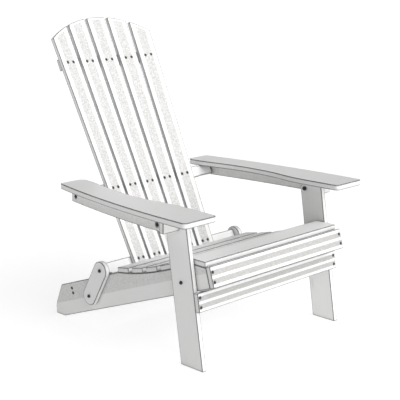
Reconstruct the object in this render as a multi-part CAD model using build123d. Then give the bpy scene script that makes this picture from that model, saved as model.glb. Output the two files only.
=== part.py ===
# Folding adirondack chair in painted timber: boards, screws and pivot bolts, each a solid of its own.
# Millimetres. +X is the sitter's left, the chair faces -Y, +Z is up and the chair stands on Z = 0.
# It folds on five pairs of bolts along X: at the front legs, arms, back and rear links.
import os
from math import asin, atan, atan2, cos, degrees, hypot, radians, sin, sqrt, tan

from build123d import *

# Boards
board = 15.0
slat_thick = 12.0
arm_thick = 16.0
edge_round = 1.4
slat_edge_round = 1.1

# Pivot axes as (Y, Z)
arm_pivot = (-249.0, 395.0)
leg_pivot = (-294.0, 234.0)
link_pivot = (101.7, 100.9)

# Seat rails: long inclined boards that carry the seat and reach the ground behind
rail_outer = 274.5
rail_inner = rail_outer - board
rail_heel = (243.5, 0.0)
rail_toe = (283.0, 0.0)
rail_tail_mid = (285.6, 26.8)
rail_tail_top = (255.8, 97.5)
rail_nose_low = (-387.6, 234.3)
rail_nose_high = (-371.3, 288.6)
rail_step_y = -297.7
tail_top_round = 5.0
tail_mid_round = 60.0

# Seat: slats on a hollow arc, behind a level front slat
seat_half = 274.0
seat_radius = 1030.0
seat_low_point = (143.9, 199.6)
seat_slats = 5
seat_first_angle = 10.0
seat_step_angle = 3.44
bed_lead_angle = 1.35
seat_slat_width = 46.5
front_slat_y = (-368.5, -300.0)
front_slat_bed = 288.8
slat_lift = 0.2

# Front apron on the sloping noses of the seat rails, and the bar between their tails
apron_half = 274.3
apron_height = 58.5
apron_lift = 0.8
apron_screw_gap = 27.6
crossbar_mid = (201.2, 91.4)
crossbar_height = 35.0
crossbar_screw_gap = 14.9

# Front legs and their stretcher
leg_inner = 275.0
leg_outer = leg_inner + board
leg_width = 82.6
leg_lean = 9.1
leg_front_foot = -375.8
leg_top = 412.0
leg_top_round = 17.0
stretcher_half = 290.0
stretcher_height = 53.0
stretcher_mid = 189.0
stretcher_screw_gap = 27.0

# Rear links
link_radius = 27.5

# Arms: half plan as (X, Y) points
arm_z = 414.0
arm_front = -391.0
arm_rear = 207.0
arm_outer_arc = ((370.0, arm_front), (354.0, -93.0), (305.5, arm_rear))
arm_inner_curve = ((251.0, arm_front), (247.0, -300.0), (246.5, -215.0), (256.0, -140.0),
                   (258.0, -75.0), (246.0, 44.0), (228.0, 130.0), (218.5, arm_rear))
arm_corner_front = 13.0
arm_corner_rear = 20.0
arm_edge_round = 2.0

# Arm rails: bent boards under the arms, with cleats across their front ends
arm_rail_height = 36.5
arm_rail_arc = ((336.0, -271.8), (320.0, -60.0), (286.4, 165.0))
arm_rail_rear = 178.0
cleat_x = (290.4, 348.0)
cleat_front = -287.0

# Back: five fanned slats on three rails bent to a shallow hollow
back_lean = 27.0
back_origin = (148.5, 399.3)
back_radius = 1500.0
slat_pitch = 72.3
slat_fan = 0.018
slat_half = 32.4
slat_taper = 0.0057
slat_bottom = -246.0
crown_top = 551.5
crown_radius = 341.0
slat_numbers = (-2, -1, 0, 1, 2)
slat_names = ("right_outer", "right_inner", "centre", "left_inner", "left_outer")
rail_height = 36.0
rail_bend_half = 200.0
rail_fit = 0.85
upper_row = 408.0
middle_row = 0.0
lower_row = -225.3
lower_rail_middle = -231.0
upper_rail_half = 190.0
middle_rail_half = 268.6
lower_rail_half = 274.2
rest_gap = 3.0
tab_swing_radius = 17.3
tab_clear_half = 213.0

# Fasteners
screw_head = 4.0
screw_shank = 2.0
screw_tip = 0.4
screw_point = 4.0
screw_proud = 0.5
screw_recess = (4.4, 0.9, 1.4)
slat_screw_length = 24.0
frame_screw_length = 40.0
hole_ease = 0.05
hole_overrun = 2.0
bolt_shank = 3.2
bolt_head = 4.8
bolt_head_height = 4.0
bolt_head_round = 1.9
socket_across = 2.0
socket_depth = 2.0
bolt_run = 0.08
moving_gap = 0.4
nut_across = 5.8
nut_thick = 5.0
sleeve_radius = 11.0
spot_radius = 7.0
spot_depth = 1.6
back_bolt_reach = 36.0
dowel_radius = 3.0
dowel_length = 20.0
dowel_in_slat = 8.0


# Helpers
def both_sides(solid):
    """The left piece and its mirror image on the right."""
    return {"left": solid, "right": mirror(solid, about=Plane.YZ)}


def pair(solid):
    """The left and right pieces as one list of solids."""
    return [solid, mirror(solid, about=Plane.YZ)]


def standing_plate(outline, inner):
    """A board that stands in a YZ plane, from its inner face outwards on the left side."""
    return extrude(Plane.YZ.offset(inner) * outline, amount=board)


def plank(length, width, thick):
    """A board lying along X, its top face at Z = 0."""
    return ease(Box(length, width, thick, align=(Align.CENTER, Align.CENTER, Align.MAX)))


def round_corner(outline, corner, radius):
    """Round the vertex of an outline nearest to a corner point."""
    point = Vector(*corner)
    vertex = min(outline.vertices(), key=lambda v: (Vector(v.X, v.Y) - point).length)
    return fillet(vertex, radius)


def ease(solid, radius=edge_round):
    """Take the sharp arrises off a board."""
    return fillet(solid.edges(), radius)


def ease_faces(solid, axis, radius=edge_round):
    """Take the arrises off the two large faces of a board that is thin along an axis."""
    faces = solid.faces().filter_by(axis)
    return fillet(faces.edges(), radius)


def x_rod(pivot, radius, start, stop):
    """A round rod along X through a pivot."""
    low = min(start, stop)
    place = Plane.YZ.offset(low) * Pos(pivot[0], pivot[1])
    return extrude(place * Circle(radius), amount=abs(stop - start))


def hex_rod(pivot, across, start, stop):
    """A hexagonal rod along X, given half its width across the flats."""
    low = min(start, stop)
    outline = RegularPolygon(across, 6, major_radius=False)
    return extrude(Plane.YZ.offset(low) * Pos(pivot[0], pivot[1]) * outline, amount=abs(stop - start))


def screw(length):
    """A countersunk screw pointing down, its head just proud of Z = 0."""
    cone = screw_head - screw_shank
    outline = Polyline((0, screw_proud), (screw_head - screw_proud, screw_proud), (screw_head, 0),
                       (screw_shank, -cone), (screw_shank, screw_point - length), (screw_tip, -length),
                       (0, -length), (0, screw_proud))
    body = revolve(Plane.XZ * make_face(outline), Axis.Z)
    long, narrow, deep = screw_recess
    return body - Pos(0, 0, screw_proud) * (Box(long, narrow, deep) + Box(narrow, long, deep))


def screw_hole(length):
    """The hole a screw of this length sits in."""
    head = screw_head + hole_ease
    shank = screw_shank + hole_ease
    outline = Polyline((0, hole_overrun), (head, hole_overrun), (head, 0), (shank, shank - head),
                       (shank, -length - 1), (0, -length - 1), (0, hole_overrun))
    return revolve(Plane.XZ * make_face(outline), Axis.Z)


def dowel(radius, length, inside):
    """A peg along Z, with the given part of its length above Z = 0."""
    return Pos(0, 0, inside) * Cylinder(radius, length, align=(Align.CENTER, Align.CENTER, Align.MAX))


def bolt(pivot, seat, tip):
    """A button-head bolt along X on the left side, from the underside of its head at seat to its tip."""
    top = seat + bolt_head_height
    head = x_rod(pivot, bolt_head, seat, top)
    head = fillet(head.faces().sort_by(Axis.X)[-1].edges(), bolt_head_round)
    shank = x_rod(pivot, bolt_shank, tip, seat)
    return head + shank - hex_rod(pivot, socket_across, top - socket_depth, top + 1)


def nut(pivot, start):
    """A hexagonal nut on a bolt, reaching inwards from start."""
    bore = x_rod(pivot, bolt_shank + hole_ease, start + 1, start - nut_thick - 1)
    return hex_rod(pivot, nut_across, start, start - nut_thick) - bore


def bore(solid, pivot, radius, low, high):
    """Drill a board along X at a pivot."""
    return solid - x_rod(pivot, radius, low - 1, high + 1)


def at_ends(place, across, spacing):
    """Two spots, spaced along the local Y axis, at each end of a board."""
    return [place * Pos(side * across, dy, 0) for side in (-1, 1) for dy in (-spacing / 2, spacing / 2)]


parts = {}
fixed_bore = bolt_shank + hole_ease
running_bore = bolt_shank + bolt_run
rail_mid_x = rail_outer - board / 2

# Seat slats and seat rails
seat_centre = (seat_low_point[0], seat_low_point[1] + seat_radius)
bed_radius = seat_radius + board


def seat_point(angle, radius):
    """A point on the seat's arc, at an angle forward from its lowest point."""
    return (seat_centre[0] - radius * sin(radians(angle)), seat_centre[1] - radius * cos(radians(angle)))


bed_start_angle = seat_first_angle - bed_lead_angle
bed_end_angle = degrees(asin((seat_centre[0] - rail_step_y) / bed_radius))
bed_start = seat_point(bed_start_angle, bed_radius)
bed_middle = seat_point((bed_start_angle + bed_end_angle) / 2, bed_radius)
bed_end = seat_point(bed_end_angle, bed_radius)
tail_slope = atan((bed_start[1] - rail_tail_top[1]) / (rail_tail_top[0] - bed_start[0]))


def seat_rail_outline():
    edges = Polyline(bed_end, (rail_step_y - 1.3, rail_nose_high[1]), rail_nose_high, rail_nose_low, rail_heel,
                     rail_toe, rail_tail_mid, rail_tail_top, bed_start)
    edges += ThreePointArc(bed_start, bed_middle, bed_end)
    outline = make_face(edges)
    outline = round_corner(outline, rail_tail_top, tail_top_round)
    return round_corner(outline, rail_tail_mid, tail_mid_round)


slat_frames = {}
for number in range(seat_slats):
    angle = seat_first_angle + number * seat_step_angle
    top = seat_point(angle, seat_radius - slat_lift)
    slat_frames[f"seat_slat_{number + 1}"] = (Location((0, *top), (-angle, 0, 0)), seat_slat_width)
front_slat_width = front_slat_y[1] - front_slat_y[0]
front_slat_frame = Location((0, sum(front_slat_y) / 2, front_slat_bed + board))
slat_frames["seat_slat_front"] = (front_slat_frame, front_slat_width)

peg = dowel(dowel_radius, dowel_length, dowel_in_slat)
peg_hole = dowel(dowel_radius + hole_ease, dowel_length + 1, dowel_in_slat + hole_ease)
seat_pegs = []
seat_peg_holes = []
for place, width in slat_frames.values():
    for spot in at_ends(place * Pos(0, 0, -board), rail_mid_x, width / 2):
        seat_pegs.append(spot * peg)
        seat_peg_holes.append(spot * peg_hole)
for name, (place, width) in slat_frames.items():
    parts[name] = place * plank(2 * seat_half, width, board) - seat_peg_holes
parts["seat_dowels"] = seat_pegs

nose_tilt = degrees(atan2(rail_nose_high[0] - rail_nose_low[0], rail_nose_high[1] - rail_nose_low[1]))
nose_mid = ((rail_nose_high[0] + rail_nose_low[0]) / 2, (rail_nose_high[1] + rail_nose_low[1]) / 2)
apron_frame = Location((0, *nose_mid), (90 - nose_tilt, 0, 0)) * Pos(0, apron_lift, board + hole_ease)
apron_spots = at_ends(apron_frame, rail_mid_x, apron_screw_gap)
apron_holes = [spot * screw_hole(frame_screw_length) for spot in apron_spots]
parts["front_apron"] = apron_frame * plank(2 * apron_half, apron_height, board) - apron_holes
parts["apron_screws"] = [spot * screw(frame_screw_length) for spot in apron_spots]

crossbar_frame = Location((0, *crossbar_mid), (90 - degrees(tail_slope), 0, 0))
crossbar = crossbar_frame * Pos(0, 0, board / 2) * plank(2 * (rail_inner - hole_ease), crossbar_height, board)
crossbar_spots = [crossbar_frame * Pos(rail_outer, dy, 0) * Rot(0, 90, 0)
                  for dy in (-crossbar_screw_gap / 2, crossbar_screw_gap / 2)]
crossbar_screws = [spot * screw(frame_screw_length) for spot in crossbar_spots]
crossbar_holes = [spot * screw_hole(frame_screw_length) for spot in crossbar_spots]
for hole in crossbar_holes:
    crossbar -= pair(hole)
parts["rear_crossbar"] = crossbar
parts["crossbar_screws"] = [solid for one in crossbar_screws for solid in pair(one)]

seat_rail = ease_faces(standing_plate(seat_rail_outline(), rail_inner), Axis.X)
for pivot in (leg_pivot, link_pivot):
    seat_rail = bore(seat_rail, pivot, fixed_bore, rail_inner, rail_outer)
seat_rail -= seat_peg_holes + apron_holes + crossbar_holes
for side, solid in both_sides(seat_rail).items():
    parts[f"seat_rail_{side}"] = solid

# Front legs and stretcher
lean_run = tan(radians(leg_lean))
leg_run = leg_width / cos(radians(leg_lean))


def leg_outline():
    """A leaning board, rounded at its top rear corner about the arm's pivot."""
    turn = radians(leg_lean)
    pivot_y, pivot_z = arm_pivot
    shoulder = (pivot_y + leg_top_round * cos(turn), pivot_z - leg_top_round * sin(turn))
    crown = (pivot_y, pivot_z + leg_top_round)
    middle = (pivot_y + leg_top_round * sin(radians(45)), pivot_z + leg_top_round * cos(radians(45)))
    rear_foot = leg_front_foot + leg_run
    edges = Polyline(crown, (leg_front_foot + leg_top * lean_run, leg_top), (leg_front_foot, 0), (rear_foot, 0),
                     shoulder)
    edges += ThreePointArc(shoulder, middle, crown)
    return make_face(edges)


leg = ease_faces(standing_plate(leg_outline(), leg_inner), Axis.X)
for pivot in (arm_pivot, leg_pivot):
    leg = bore(leg, pivot, running_bore, leg_inner, leg_outer)
stretcher_back_y = leg_front_foot + stretcher_mid * lean_run
stretcher_frame = Location((0, stretcher_back_y, stretcher_mid), (90 - leg_lean, 0, 0))
stretcher_frame = stretcher_frame * Pos(0, 0, board + hole_ease)
stretcher_spots = at_ends(stretcher_frame, (leg_inner + leg_outer) / 2, stretcher_screw_gap)
stretcher_holes = [spot * screw_hole(frame_screw_length) for spot in stretcher_spots]
stretcher = stretcher_frame * plank(2 * stretcher_half, stretcher_height, board)
parts["leg_stretcher"] = stretcher - stretcher_holes
parts["stretcher_screws"] = [spot * screw(frame_screw_length) for spot in stretcher_spots]
for side, solid in both_sides(leg - stretcher_holes).items():
    parts[f"front_leg_{side}"] = solid

# Back
back_turn = radians(back_lean)
back_plane = Plane(origin=(0, *back_origin), x_dir=(1, 0, 0), z_dir=(0, -cos(back_turn), sin(back_turn)))
back_frame = back_plane.location
rail_front_radius = back_radius + slat_thick + rail_fit


def hollow(radius, across):
    """How far a point across the hollow stands forward of the middle slat's face."""
    return back_radius - sqrt(radius ** 2 - across ** 2)


def back_point(up, out):
    """(Y, Z) of a point up the back's slope and out towards the sitter."""
    return (back_origin[0] + up * sin(back_turn) - out * cos(back_turn),
            back_origin[1] + up * cos(back_turn) + out * sin(back_turn))


tab_mid = hollow(rail_front_radius, rail_bend_half) - board / 2
middle_pivot = back_point(middle_row, tab_mid)
lower_pivot = back_point(lower_rail_middle, tab_mid)


def slat_frame(number):
    """Where a back slat stands on the hollow, in the back's own plane."""
    across = number * slat_pitch
    turn = degrees(asin(across / back_radius))
    return back_frame * Location((across, 0, hollow(back_radius, across)), (0, -turn, 0))


def back_slat(number):
    """A tapered slat, cut at the top to the arc that crowns the whole back."""
    def edge_point(up, side):
        return (number * slat_fan * up + side * (slat_half + slat_taper * up), up)

    crown_x = -number * slat_pitch
    crown_y = crown_top - crown_radius

    def crown_point(side):
        lean = number * slat_fan + side * slat_taper
        start = side * slat_half - crown_x
        a = 1 + lean ** 2
        b = lean * start - crown_y
        c = start ** 2 + crown_y ** 2 - crown_radius ** 2
        return edge_point((sqrt(b ** 2 - a * c) - b) / a, side)

    right, left = crown_point(-1), crown_point(1)
    top_x = (right[0] + left[0]) / 2
    top = (top_x, crown_y + sqrt(crown_radius ** 2 - (top_x - crown_x) ** 2))
    edges = Polyline(right, edge_point(slat_bottom, -1), edge_point(slat_bottom, 1), left)
    outline = make_face(edges + ThreePointArc(left, top, right))
    return ease(extrude(outline, amount=-slat_thick), slat_edge_round)


def slat_spots(number, row):
    """Two screw spots where a slat crosses a rail."""
    middle = number * slat_fan * row
    gap = (slat_half + slat_taper * row) / 3
    return [slat_frame(number) * Pos(middle + side * gap, row, 0) for side in (-1, 1)]


def back_rail(middle, half):
    """A rail bent to the back's hollow, with straight tabs beyond the slats."""
    bend = min(rail_bend_half, half)
    front = hollow(rail_front_radius, bend)
    front_mid = hollow(rail_front_radius, 0)
    outer = [(bend, front), (half, front), (half, front - board), (bend, front - board)]
    edges = Curve() + ThreePointArc((-bend, front), (0, front_mid), (bend, front))
    edges += ThreePointArc((-bend, front - board), (0, front_mid - board), (bend, front - board))
    for side in (-1, 1):
        points = [(side * u, w) for u, w in outer]
        if half == bend:
            points = [points[0], points[-1]]
        edges += Polyline(*points)
    strip = extrude(Plane.XZ * make_face(edges), amount=rail_height)
    return back_frame * Pos(0, middle + rail_height / 2, 0) * ease(strip)


rows = {"upper": upper_row, "middle": middle_row, "lower": lower_row}
row_holes = {}
slat_holes = {number: [] for number in slat_numbers}
for row_name, row in rows.items():
    spots = {number: slat_spots(number, row) for number in slat_numbers}
    every_spot = [spot for two in spots.values() for spot in two]
    parts[f"back_screws_{row_name}"] = [spot * screw(slat_screw_length) for spot in every_spot]
    row_holes[row_name] = []
    for number, two in spots.items():
        holes = [spot * screw_hole(slat_screw_length) for spot in two]
        row_holes[row_name] += holes
        slat_holes[number] += holes
for number, name in zip(slat_numbers, slat_names):
    parts[f"back_slat_{name}"] = slat_frame(number) * back_slat(number) - slat_holes[number]

upper_rail = back_rail(upper_row, upper_rail_half)
middle_rail = back_rail(middle_row, middle_rail_half)
lower_rail = back_rail(lower_rail_middle, lower_rail_half)
tab_block = x_rod(middle_pivot, rail_height, tab_clear_half, middle_rail_half + 1)
middle_rail -= pair(tab_block - x_rod(middle_pivot, tab_swing_radius, tab_clear_half, middle_rail_half + 1))
middle_rail -= pair(x_rod(middle_pivot, running_bore, middle_rail_half - back_bolt_reach, middle_rail_half + 1))
lower_rail -= pair(x_rod(lower_pivot, running_bore, lower_rail_half - board, lower_rail_half + 1))
rest_z = rail_tail_top[1] + tan(tail_slope) * (rail_tail_top[0] - lower_pivot[0]) + rest_gap / cos(tail_slope)
rest_frame = Location((0, lower_pivot[0], rest_z), (-degrees(tail_slope), 0, 0))
rest_cut = Box(2 * board, 4 * board, 2 * board, align=(Align.MIN, Align.CENTER, Align.MAX))
lower_rail -= pair(rest_frame * Pos(rail_inner - 4, 0, 0) * rest_cut)
parts["back_rail_upper"] = upper_rail - row_holes["upper"]
parts["back_rail_middle"] = middle_rail - row_holes["middle"]
parts["back_rail_lower"] = lower_rail - row_holes["lower"]

# Rear links
link_run = (lower_pivot[0] - link_pivot[0], lower_pivot[1] - link_pivot[1])
link_middle = ((lower_pivot[0] + link_pivot[0]) / 2, (lower_pivot[1] + link_pivot[1]) / 2)
link_turn = degrees(atan2(link_run[1], link_run[0]))
link_slot = Rot(0, 0, link_turn) * SlotCenterToCenter(hypot(*link_run), 2 * link_radius)
link = ease_faces(standing_plate(Pos(*link_middle) * link_slot, leg_inner), Axis.X)
link = bore(link, link_pivot, running_bore, leg_inner, leg_outer)
link = bore(link, lower_pivot, fixed_bore, leg_inner, leg_outer)
for side, solid in both_sides(link).items():
    parts[f"rear_link_{side}"] = solid

# Arms
rail_arc = ThreePointArc(*arm_rail_arc)
arc_centre = rail_arc.arc_center
arc_radius = rail_arc.radius


def arm_rail_x(y):
    """X of the outer face of the left arm rail."""
    return arc_centre.X + sqrt(arc_radius ** 2 - (y - arc_centre.Y) ** 2)


def arm_outline():
    edges = Spline(*arm_inner_curve) + ThreePointArc(*arm_outer_arc)
    edges += Line(arm_inner_curve[0], arm_outer_arc[0])
    edges += Line(arm_inner_curve[-1], arm_outer_arc[2])
    outline = make_face(edges)
    outline = round_corner(outline, arm_outer_arc[0], arm_corner_front)
    outline = round_corner(outline, arm_inner_curve[0], arm_corner_front)
    outline = round_corner(outline, arm_inner_curve[-1], arm_corner_rear)
    return round_corner(outline, arm_outer_arc[2], arm_corner_front)


arm = ease_faces(Pos(0, 0, arm_z) * extrude(arm_outline(), amount=arm_thick), Axis.Z, arm_edge_round)
arm_rail_base = arm_z - arm_rail_height
rail_front = arm_rail_arc[0][1]
ring = Pos(arc_centre.X, arc_centre.Y) * (Circle(arc_radius) - Circle(arc_radius - board))
window = Rectangle(8 * board, arm_rail_rear - rail_front)
window = Pos(arm_rail_arc[1][0], (rail_front + arm_rail_rear) / 2) * window
arm_rail = Pos(0, 0, arm_rail_base) * extrude(ring & window, amount=arm_rail_height - hole_ease)
arm_rail = ease(arm_rail)
cleat_rear = rail_front - slat_lift
cleat = Box(cleat_x[1] - cleat_x[0], cleat_rear - cleat_front, arm_rail_height - hole_ease)
cleat_mid = ((cleat_x[0] + cleat_x[1]) / 2, (cleat_front + cleat_rear) / 2)
cleat = Pos(*cleat_mid, arm_z - arm_rail_height / 2) * ease(cleat)

arm_seat = arm_rail_x(arm_pivot[0]) - spot_depth
back_seat = arm_rail_x(middle_pivot[0]) - spot_depth
for pivot, seat in ((arm_pivot, arm_seat), (middle_pivot, back_seat)):
    arm_rail -= x_rod(pivot, spot_radius, seat, seat + 4 * spot_depth)
    arm_rail = bore(arm_rail, pivot, fixed_bore, seat - 2 * board, seat)
peg_spots = [Pos(arm_rail_x(y) - board / 2, y, arm_z) for y in (-200, -20, 120)]
peg_spots += [Pos(x, cleat_mid[1], arm_z) for x in (cleat_mid[0] - board, cleat_mid[0] + board)]
arm_pegs = [spot * peg for spot in peg_spots]
arm_peg_holes = [spot * peg_hole for spot in peg_spots]
for name, solid in {"arm": arm, "arm_rail": arm_rail, "arm_cleat": cleat}.items():
    for side, drilled in both_sides(solid - arm_peg_holes).items():
        parts[f"{name}_{side}"] = drilled
parts["arm_dowels"] = [solid for one in arm_pegs for solid in pair(one)]

# Pivot bolts, sleeves and nuts
sleeve_start = leg_outer + moving_gap
sleeve_stop = arm_rail_x(arm_pivot[0] + sleeve_radius) - board - spot_depth / 2
arm_nut_start = leg_inner - moving_gap
swing_seat = leg_outer + moving_gap
rail_nut_start = rail_inner - hole_ease
sleeve = x_rod(arm_pivot, sleeve_radius, sleeve_start, sleeve_stop)
parts["arm_sleeves"] = pair(bore(sleeve, arm_pivot, fixed_bore, sleeve_start, sleeve_stop))
parts["arm_bolts"] = pair(bolt(arm_pivot, arm_seat, arm_nut_start - nut_thick - 1))
parts["arm_nuts"] = pair(nut(arm_pivot, arm_nut_start))
parts["leg_bolts"] = pair(bolt(leg_pivot, swing_seat, rail_nut_start - nut_thick - 1))
parts["leg_nuts"] = pair(nut(leg_pivot, rail_nut_start))
parts["back_bolts"] = pair(bolt(middle_pivot, back_seat, middle_rail_half - back_bolt_reach + 2))
parts["link_upper_bolts"] = pair(bolt(lower_pivot, leg_outer + hole_ease, leg_inner + 0.2))
parts["link_lower_bolts"] = pair(bolt(link_pivot, swing_seat, rail_nut_start - nut_thick - 1))
parts["link_nuts"] = pair(nut(link_pivot, rail_nut_start))

# Centre the chair over its footprint and write each piece
shapes = {}
for name, solid in parts.items():
    shapes[name] = Compound(children=list(solid)) if isinstance(solid, list) else solid
boxes = [shape.bounding_box() for shape in shapes.values()]
shift = -(min(box.min.Y for box in boxes) + max(box.max.Y for box in boxes)) / 2
os.makedirs("parts", exist_ok=True)
for name, shape in shapes.items():
    export_step(Pos(0, shift, 0) * shape, f"parts/{name}.step")
print("shift", round(shift, 4), "height", round(max(box.max.Z for box in boxes), 2))
for name, pivot in (("leg", leg_pivot), ("arm", arm_pivot), ("back", middle_pivot), ("lower", lower_pivot),
                    ("link", link_pivot)):
    print(name, "pivot", round(pivot[0] + shift, 4), round(pivot[1], 4))
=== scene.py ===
import math

import bpy
from mathutils import Matrix, Vector


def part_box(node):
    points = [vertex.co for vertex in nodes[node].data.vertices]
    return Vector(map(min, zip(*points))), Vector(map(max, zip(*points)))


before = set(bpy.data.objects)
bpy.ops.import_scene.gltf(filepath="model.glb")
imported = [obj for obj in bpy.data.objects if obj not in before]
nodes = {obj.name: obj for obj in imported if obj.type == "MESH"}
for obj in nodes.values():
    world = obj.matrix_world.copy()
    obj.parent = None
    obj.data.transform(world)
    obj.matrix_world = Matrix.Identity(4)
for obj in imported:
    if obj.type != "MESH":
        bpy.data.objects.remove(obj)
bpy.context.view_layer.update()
print("frame loaded:", len(nodes), "nodes")


class Tone:
    # a node socket that can be used in sums
    def __init__(self, shop, socket):
        self.shop = shop
        self.socket = socket

    def calc(self, operation, *others, clamp=False):
        return self.shop.math(operation, self, *others, clamp=clamp)

    def __add__(self, other):
        return self.calc("ADD", other)

    def __radd__(self, other):
        return self.shop.math("ADD", other, self)

    def __sub__(self, other):
        return self.calc("SUBTRACT", other)

    def __rsub__(self, other):
        return self.shop.math("SUBTRACT", other, self)

    def __mul__(self, other):
        return self.calc("MULTIPLY", other)

    def __rmul__(self, other):
        return self.shop.math("MULTIPLY", other, self)

    def __truediv__(self, other):
        return self.calc("DIVIDE", other)

    def __rtruediv__(self, other):
        return self.shop.math("DIVIDE", other, self)

    def power(self, exponent):
        return self.calc("POWER", exponent)

    def root(self):
        return self.calc("SQRT")

    def size(self):
        return self.calc("ABSOLUTE")

    def clamped(self):
        return self.calc("ADD", 0.0, clamp=True)

    def above(self, edge, soft):
        # 0 below the edge, rising to 1 past it
        return ((self - edge) / soft).clamped()


def pick(sockets, name):
    # by number, or the one in use that has the name
    if isinstance(name, int):
        return sockets[name]
    return next(socket for socket in sockets if socket.name == name and socket.enabled)


cornerSamples = 6  # rays that feel for a corner or a gap, more for smoother lines


class PaintShop:
    # the nodes of one material, or of the sky
    def __init__(self, owner, shader="Principled BSDF"):
        owner.use_nodes = True
        self.owner = owner
        self.tree = owner.node_tree
        self.shader = self.tree.nodes[shader]
        self.known = {}

    def put(self, socket, value):
        if isinstance(value, Tone):
            self.tree.links.new(value.socket, socket)
        else:
            socket.default_value = value

    def node(self, kind, settings=None, sockets=None, out=0):
        made = self.tree.nodes.new(kind)
        for name, value in (settings or {}).items():
            setattr(made, name, value)
        for name, value in (sockets or {}).items():
            self.put(pick(made.inputs, name), value)
        return Tone(self, pick(made.outputs, out))

    def math(self, operation, *values, clamp=False):
        settings = {"operation": operation, "use_clamp": clamp}
        return self.node("ShaderNodeMath", settings, dict(enumerate(values)))

    def dot(self, first, second):
        settings = {"operation": "DOT_PRODUCT"}
        return self.node("ShaderNodeVectorMath", settings, {0: first, 1: second}, out="Value")

    def coords(self, kind):
        # one coordinate node for each kind that is asked for
        if kind not in self.known:
            self.known[kind] = self.node("ShaderNodeTexCoord", out=kind)
        return self.known[kind]

    def along(self, direction):
        # distance of the surface point along a direction, in metres of the open chair
        return self.dot(self.coords("Object"), direction)

    def towards(self, direction):
        # 1 where the surface faces a direction, -1 where it faces away
        return self.dot(self.coords("Normal"), direction)

    def facing(self, direction):
        # the same, either way round
        return self.towards(direction).size()

    def spot(self, x, y, z):
        return self.node("ShaderNodeCombineXYZ", None, {0: x, 1: y, 2: z})

    def noise(self, where, scale, detail, rough=0.5):
        sockets = {"Vector": where, "Scale": scale, "Detail": detail, "Roughness": rough}
        return self.node("ShaderNodeTexNoise", None, sockets, out="Fac")

    def mix(self, amount, first, second):
        sockets = {"Factor": amount, "A": first, "B": second}
        return self.node("ShaderNodeMix", {"data_type": "RGBA"}, sockets, out="Result")

    def turned(self, radius):
        # 0 on a flat face, more within a radius of a corner
        rounded = self.node("ShaderNodeBevel", {"samples": cornerSamples}, {"Radius": radius}, out="Normal")
        plain = self.node("ShaderNodeNewGeometry", out="Normal")
        return 1.0 - self.dot(rounded, plain)

    def enclosed(self, reach):
        # 0 in the open, 1 deep in a gap
        settings = {"samples": cornerSamples}
        return 1.0 - self.node("ShaderNodeAmbientOcclusion", settings, {"Distance": reach}, out="AO")

    def bump(self, height, strength, distance):
        sockets = {"Height": height, "Strength": strength, "Distance": distance}
        return self.node("ShaderNodeBump", None, sockets, out="Normal")

    def finish(self, **sockets):
        for name, value in sockets.items():
            self.put(self.shader.inputs[name.replace("_", " ")], value)
        return self.owner


def newMaterial(name):
    return PaintShop(bpy.data.materials.new(name))


def lean(degrees):
    # unit vectors of a board that runs up, leaning back by an angle: along, and out of its front
    turn = math.radians(degrees)
    return (0, math.sin(turn), math.cos(turn)), (0, -math.cos(turn), math.sin(turn))


def cross(first, second):
    return tuple(Vector(first).cross(Vector(second)))


acrossX = (1, 0, 0)
alongY = (0, 1, 0)
flatUp = (0, 0, 1)

# The greyer bands of paint keep to the broad face of a board and off its rounded edges
band = {
    "faceFrom": 0.7,
    "faceSoft": 0.1,
    "edgeSoft": 0.001,
    "speckFrom": 0.42,
    "speckSoft": 0.2,
    "speckShow": 0.55,
    "base": 0.45,
}


def broad(level):
    return level.above(band["faceFrom"], band["faceSoft"])


# One greyer band low on the sides of the arm rails
armRail = {
    "bandFrom": 0.3795,
    "bandTo": 0.412,
    "depth": 0.45,
}


def armRailBand(shop):
    z = shop.along(flatUp)
    soft = band["edgeSoft"]
    inside = z.above(armRail["bandFrom"], soft) * (1.0 - z.above(armRail["bandTo"], soft))
    return inside * broad(shop.facing(acrossX)) * armRail["depth"]


# One greyer band along the upper part of the seat rails' sides
seatRail = {
    "grainTilt": 20.2,
    "edgeZ": 0.0096,
    "edgeY": 0.2139,
    "rise": 0.371,
    "bandFrom": 0.042,
    "depth": 0.5,
}


def seatRailBand(shop):
    rise = seatRail["rise"]
    upFace = shop.along((0, rise, 1)) - seatRail["edgeZ"] - rise * seatRail["edgeY"]
    inside = (upFace / math.hypot(1, rise)).above(seatRail["bandFrom"], band["edgeSoft"])
    return inside * broad(shop.facing(acrossX)) * seatRail["depth"]


# A greyer band down the middle of each back slat's front, short of the crown
backSlats = {
    "count": 5,
    "lean": 27.0,
    "origin": (0, 0.1447562, 0.3993),
    "pitch": 0.0723,
    "fan": 0.018,
    "half": 0.0324,
    "taper": 0.0057,
    "crownRadius": 0.341,
    "crownCentre": 0.2105,
    "crownMargin": 0.007,
    "bandHalf": 0.50,
    "depth": 0.9,
    "soft": 0.0012,
}


def slatBands(shop):
    up, out = lean(backSlats["lean"])
    soft = backSlats["soft"]
    outermost = (backSlats["count"] - 1) / 2
    x = shop.along(acrossX)
    v = shop.along(up) - Vector(up).dot(Vector(backSlats["origin"]))
    pitch = v * backSlats["fan"] + backSlats["pitch"]
    number = (x / pitch).calc("ROUND").calc("MAXIMUM", -outermost).calc("MINIMUM", outermost)
    fromMiddle = (x - number * pitch).size()
    half = (v * backSlats["taper"] + backSlats["half"]) * backSlats["bandHalf"]
    inside = ((half - fromMiddle) / soft + 0.5).clamped()
    fromCrown = (x * x + (v - backSlats["crownCentre"]).power(2.0)).root()
    short = ((backSlats["crownRadius"] - backSlats["crownMargin"] - fromCrown) / soft).clamped()
    upper = v.above(backSlats["crownCentre"], band["edgeSoft"])
    return inside * (1.0 - upper * (1.0 - short)) * broad(shop.towards(out)) * backSlats["depth"]


# Two greyer bands along the front of the apron and of the stretcher
trim = {
    "thickness": 0.015,
    "bandFrom": 0.12,
    "bandTo": 0.66,
    "depth": 1.7,
}


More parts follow.
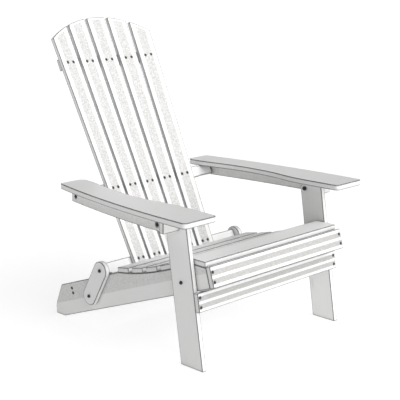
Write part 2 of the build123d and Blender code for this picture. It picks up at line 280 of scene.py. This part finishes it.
def trimBands(box, tilt):
    low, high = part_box(box)
    middle = (low + high) / 2
    up, out = lean(tilt)
    turn = math.radians(tilt)
    halfHeight = (high.z - low.z - trim["thickness"] * math.sin(turn)) / math.cos(turn) / 2
    soft = band["edgeSoft"] / halfHeight

    def bands(shop):
        w = (shop.along(up) - middle.dot(Vector(up))).size() / halfHeight
        inside = ((w - trim["bandFrom"]) / soft).clamped() * ((trim["bandTo"] - w) / soft).clamped()
        return inside * broad(shop.towards(out)) * trim["depth"]
    return bands


# White paint on planed boards
paint = {
    "white": (0.77, 0.77, 0.765, 1),
    "bare": (0.58, 0.575, 0.56, 1),
    "worn": (0.38, 0.375, 0.365, 1),
    "edge": (0.035, 0.034, 0.033, 1),
    # colour of the painted shade laid into narrow gaps and crevices
    "paintedShade": (0.12, 0.12, 0.12, 1),
    "fibreFrom": 0.56,
    "fibreSoft": 0.16,
    "fibreShow": 0.16,
    "cloudScale": 7.0,
    "cloudDetail": 3.0,
    "cloudShow": 0.10,
    "speckScale": 260.0,
    "speckDetail": 2.0,
    "speckRough": 0.6,
    "knotFrom": 0.74,
    "knotSoft": 0.05,
    "knotShow": 0.22,
    "endFrom": 0.85,
    "endSoft": 0.1,
    "endShow": 0.35,
}

# Each pattern is drawn out along the grain
grain = {
    "fibre": {"stretch": 12.0, "pitch": 300.0, "shift": 0.0, "detail": 4.0, "rough": 0.6},
    "brush": {"stretch": 3.0, "pitch": 110.0, "shift": 7.0, "detail": 2.0, "rough": 0.5},
    "knots": {"stretch": 9.0, "pitch": 26.0, "shift": 3.0, "detail": 1.0, "rough": 0.5},
}

# Dark lines on the corners of a board, and painted shade in narrow gaps
arrisLine = {
    "from": 0.36,
    "soft": 0.25,
    "width": 0.0045,
    "gain": 30.0,
    "base": 0.7,
    "speck": 0.5,
    "dark": 0.95,
}
# painted shade: how far the occlusion test reaches and how dark the gaps are painted
gapShade = {
    "reach": 0.014,
    "falloff": 1.6,
    "dark": 0.9,
}

# How matt the paint is, and how far its patterns stand up
surface = {
    "roughness": 0.46,
    "brushRoughness": 0.16,
    "arrisRoughness": 0.1,
    "gapRoughness": 0.15,
    "coat": 0.12,
    "coatRoughness": 0.35,
    "fibreHeight": 0.5,
    "brushHeight": 0.4,
    "speckHeight": 0.1,
    "knotHeight": 0.2,
    "relief": 0.4,
    "reliefDepth": 0.0005,
}


def drawnOut(shop, board, pattern):
    run, side, deep = board
    pitch = pattern["pitch"]
    where = shop.spot(run * pattern["stretch"], side * pitch, deep * pitch + pattern["shift"])
    return shop.noise(where, 1.0, pattern["detail"], pattern["rough"])


def paintedTimber(name, along, face, bands=None):
    # along is the way the grain runs, face the way the board's broad side looks
    shop = newMaterial(name)
    board = [shop.along(direction) for direction in (along, cross(along, face), face)]
    fibre = drawnOut(shop, board, grain["fibre"])
    brush = drawnOut(shop, board, grain["brush"])
    knots = drawnOut(shop, board, grain["knots"]).above(paint["knotFrom"], paint["knotSoft"])
    place = shop.coords("Object")
    cloud = shop.noise(place, paint["cloudScale"], paint["cloudDetail"])
    speck = shop.noise(place, paint["speckScale"], paint["speckDetail"], paint["speckRough"])
    endGrain = shop.facing(along).above(paint["endFrom"], paint["endSoft"])

    # the face and its edges are both turned part way at a corner
    level = shop.facing(face)
    corner = level * (1.0 - level * level).root() * 2.0
    rubbed = corner.above(arrisLine["from"], arrisLine["soft"])
    arris = (rubbed + shop.turned(arrisLine["width"]) * arrisLine["gain"]).clamped()
    # painted shade mask: 1 deep in a gap or crevice, from an occlusion test
    gap = shop.enclosed(gapShade["reach"]).power(gapShade["falloff"]).clamped()

    weathered = fibre.above(paint["fibreFrom"], paint["fibreSoft"]) * paint["fibreShow"]
    weathered = weathered + (1.0 - cloud) * paint["cloudShow"]
    shade = shop.mix(weathered.clamped(), paint["white"], paint["bare"])
    shade = shop.mix(endGrain * paint["endShow"], shade, paint["bare"])
    shade = shop.mix(knots * paint["knotShow"], shade, paint["worn"])
    if bands:
        stipple = speck.above(band["speckFrom"], band["speckSoft"]) * band["speckShow"] + band["base"]
        shade = shop.mix((bands(shop) * stipple).clamped(), shade, paint["worn"])
    line = arris * (speck * arrisLine["speck"] + arrisLine["base"]) * arrisLine["dark"]
    shade = shop.mix(line.clamped(), shade, paint["edge"])
    # painted shade: the paint is darkened where the boards close in on each other
    shade = shop.mix((gap * gapShade["dark"]).clamped(), shade, paint["paintedShade"])

    height = fibre * surface["fibreHeight"] + brush * surface["brushHeight"] \
        + speck * surface["speckHeight"] - knots * surface["knotHeight"]
    roughness = surface["roughness"] + brush * surface["brushRoughness"] \
        + arris * surface["arrisRoughness"] + gap * surface["gapRoughness"]
    return shop.finish(Base_Color=shade, Roughness=roughness,
                       Normal=shop.bump(height, surface["relief"], surface["reliefDepth"]),
                       Coat_Weight=surface["coat"], Coat_Roughness=surface["coatRoughness"])


# Blackened screws, bolts and nuts
steel = {
    "black": (0.022, 0.022, 0.024, 1),
    "rubbed": (0.12, 0.118, 0.115, 1),
    "gritScale": 900.0,
    "gritDetail": 3.0,
    "gritRough": 0.6,
    "gritShow": 0.12,
    "gritRoughness": 0.2,
    "patchScale": 160.0,
    "patchDetail": 2.0,
    "rubWidth": 0.0007,
    "rubGain": 6.0,
    "rubShow": 0.6,
    "rubPolish": 0.12,
    "rubMetal": 0.5,
    "metal": 0.35,
    "screwRoughness": 0.52,
    "boltRoughness": 0.36,
    "relief": 0.25,
    "reliefDepth": 0.0002,
}


def blackSteel(name, roughness):
    shop = newMaterial(name)
    place = shop.coords("Object")
    grit = shop.noise(place, steel["gritScale"], steel["gritDetail"], steel["gritRough"])
    patch = shop.noise(place, steel["patchScale"], steel["patchDetail"])
    rub = (shop.turned(steel["rubWidth"]) * steel["rubGain"] * patch).clamped()
    wear = (rub * steel["rubShow"] + grit * steel["gritShow"]).clamped()
    return shop.finish(Base_Color=shop.mix(wear, steel["black"], steel["rubbed"]),
                       Roughness=roughness + grit * steel["gritRoughness"] - rub * steel["rubPolish"],
                       Metallic=(steel["metal"] + rub * steel["rubMetal"]).clamped(),
                       Normal=shop.bump(grit, steel["relief"], steel["reliefDepth"]))


# Plain hardwood dowels, hidden once the chair is together
dowel = {
    "pale": (0.62, 0.45, 0.27, 1),
    "dark": (0.42, 0.28, 0.15, 1),
    "pitch": 500,
    "stretch": 40,
    "detail": 3.0,
    "roughness": 0.55,
    "grainRoughness": 0.15,
    "relief": 0.3,
    "reliefDepth": 0.0003,
}


def turnedWood(name):
    shop = newMaterial(name)
    where = shop.spot(shop.along(acrossX) * dowel["pitch"], shop.along(alongY) * dowel["pitch"],
                      shop.along(flatUp) * dowel["stretch"])
    figure = shop.noise(where, 1.0, dowel["detail"])
    return shop.finish(Base_Color=shop.mix(figure, dowel["pale"], dowel["dark"]),
                       Roughness=dowel["roughness"] + figure * dowel["grainRoughness"],
                       Normal=shop.bump(figure, dowel["relief"], dowel["reliefDepth"]))


def coat(material, *starts):
    for name, piece in nodes.items():
        if name.startswith(starts):
            piece.data.materials.clear()
            piece.data.materials.append(material)


# Which way each board looks, in degrees of lean
boards = {
    "seatSlats": 5,
    "firstSlatTilt": 10.0,
    "slatTiltStep": 3.44,
    "crossbarTilt": 69.8,
    "legLean": 9.1,
    "apronTilt": 16.7,
    "linkRun": (0, -0.501, 0.865),
}

for number in range(boards["seatSlats"]):
    slatFace = lean(boards["firstSlatTilt"] + number * boards["slatTiltStep"])[0]
    coat(paintedTimber("seat slat " + str(number + 1), acrossX, slatFace), "seat_slat_" + str(number + 1))
coat(paintedTimber("front seat slat", acrossX, flatUp), "seat_slat_front")

crossbarTurn = math.radians(boards["crossbarTilt"])
crossbarFace = (0, -math.sin(crossbarTurn), math.cos(crossbarTurn))
coat(paintedTimber("crossbar board", acrossX, crossbarFace), "rear_crossbar")

seatRailTurn = math.radians(seatRail["grainTilt"])
seatRailRun = (0, -math.cos(seatRailTurn), math.sin(seatRailTurn))
coat(paintedTimber("seat rail boards", seatRailRun, acrossX, seatRailBand), "seat_rail")

legUp, legOut = lean(boards["legLean"])
coat(paintedTimber("leg boards", legUp, acrossX), "front_leg")
coat(paintedTimber("link boards", boards["linkRun"], acrossX), "rear_link")
coat(paintedTimber("arm boards", alongY, flatUp), "arm_left", "arm_right")
coat(paintedTimber("arm rail boards", alongY, acrossX, armRailBand), "arm_rail")
coat(paintedTimber("arm cleat boards", acrossX, alongY), "arm_cleat")

backUp, backOut = lean(backSlats["lean"])
coat(paintedTimber("back rail boards", acrossX, backOut), "back_rail")
coat(paintedTimber("back slat boards", backUp, backOut, slatBands), "back_slat")

apronOut = lean(boards["apronTilt"])[1]
apronBands = trimBands("front_apron", boards["apronTilt"])
coat(paintedTimber("apron board", acrossX, apronOut, apronBands), "front_apron")
stretcherBands = trimBands("leg_stretcher", boards["legLean"])
coat(paintedTimber("stretcher board", acrossX, legOut, stretcherBands), "leg_stretcher")

coat(blackSteel("black screws", steel["screwRoughness"]),
     "back_screws", "apron_screws", "crossbar_screws", "stretcher_screws")
coat(blackSteel("black bolts", steel["boltRoughness"]),
     "arm_bolts", "arm_nuts", "arm_sleeves", "leg_bolts", "leg_nuts", "back_bolts", "link_")
coat(turnedWood("beech dowels"), "seat_dowels", "arm_dowels")
print("boards and fixings painted")


# Pale floor that glows a little, so it stays white to the horizon
paper = {
    "size": 60.0,
    "drop": 0.0005,
    "tone": (0.28, 0.28, 0.28, 1),
    "fleckTone": (0.2, 0.2, 0.2, 1),
    "fleckScale": 300.0,
    "fleckDetail": 2.0,
    "fleckShow": 0.1,
    "roughness": 0.9,
    "light": (1, 1, 1, 1),
    "glow": 0.80,
}


def layFloor():
    half = paper["size"] / 2
    corners = [(-half, -half, 0), (half, -half, 0), (half, half, 0), (-half, half, 0)]
    mesh = bpy.data.meshes.new("studio floor")
    mesh.from_pydata(corners, [], [(0, 1, 2, 3)])
    floor = bpy.data.objects.new("studio_floor", mesh)
    bpy.context.scene.collection.objects.link(floor)
    floor.location.z = -paper["drop"]
    shop = newMaterial("studio paper")
    fleck = shop.noise(shop.coords("Object"), paper["fleckScale"], paper["fleckDetail"])
    shade = shop.mix(fleck * paper["fleckShow"], paper["tone"], paper["fleckTone"])
    mesh.materials.append(shop.finish(Base_Color=shade, Roughness=paper["roughness"],
                                      Emission_Color=paper["light"], Emission_Strength=paper["glow"]))


# Bright at the horizon and dim overhead
sky = {
    "lowAt": 0.10,
    "highAt": 0.24,
    "low": 1.06,
    "high": 0.05,
    "tone": (1, 1, 1, 1),
}
key = {
    "strength": 3.9,
    "from": (0.25, -1.0, 0.85),
    "spread": 75.0,
}


def hangLights():
    shop = PaintShop(bpy.data.worlds.new("studio"), "Background")
    height = shop.node("ShaderNodeSeparateXYZ", None, {0: shop.coords("Generated")}, out="Z")
    fade = {"Value": height, "From Min": sky["lowAt"], "From Max": sky["highAt"],
            "To Min": sky["low"], "To Max": sky["high"]}
    strength = shop.node("ShaderNodeMapRange", None, fade, out="Result")
    bpy.context.scene.world = shop.finish(Color=sky["tone"], Strength=strength)
    sun = bpy.data.lights.new("key", "SUN")
    sun.energy = key["strength"]
    sun.angle = math.radians(key["spread"])
    lamp = bpy.data.objects.new("key", sun)
    lamp.rotation_euler = Vector(key["from"]).to_track_quat("Z", "Y").to_euler()
    bpy.context.scene.collection.objects.link(lamp)


camera = {
    "place": (-2.1725, -2.2669, 1.1205),
    "forward": (0.68457, 0.69006, -0.23489),
    "right": (0.70992, -0.70428, 0),
    "lens": 95.8,
    "sensor": 36.0,
    "farthest": 100,
}


def setCamera():
    data = bpy.data.cameras.new("view")
    data.lens = camera["lens"]
    data.sensor_width = camera["sensor"]
    data.clip_end = camera["farthest"]
    view = bpy.data.objects.new("view", data)
    right = Vector(camera["right"]).normalized()
    back = -Vector(camera["forward"]).normalized()
    turn = Matrix((right, back.cross(right), back)).transposed().to_4x4()
    view.matrix_world = Matrix.Translation(camera["place"]) @ turn
    bpy.context.scene.collection.objects.link(view)
    bpy.context.scene.camera = view


layFloor()
hangLights()
setCamera()
bpy.context.scene.view_settings.view_transform = "Standard"
print("floor, lights and camera set")
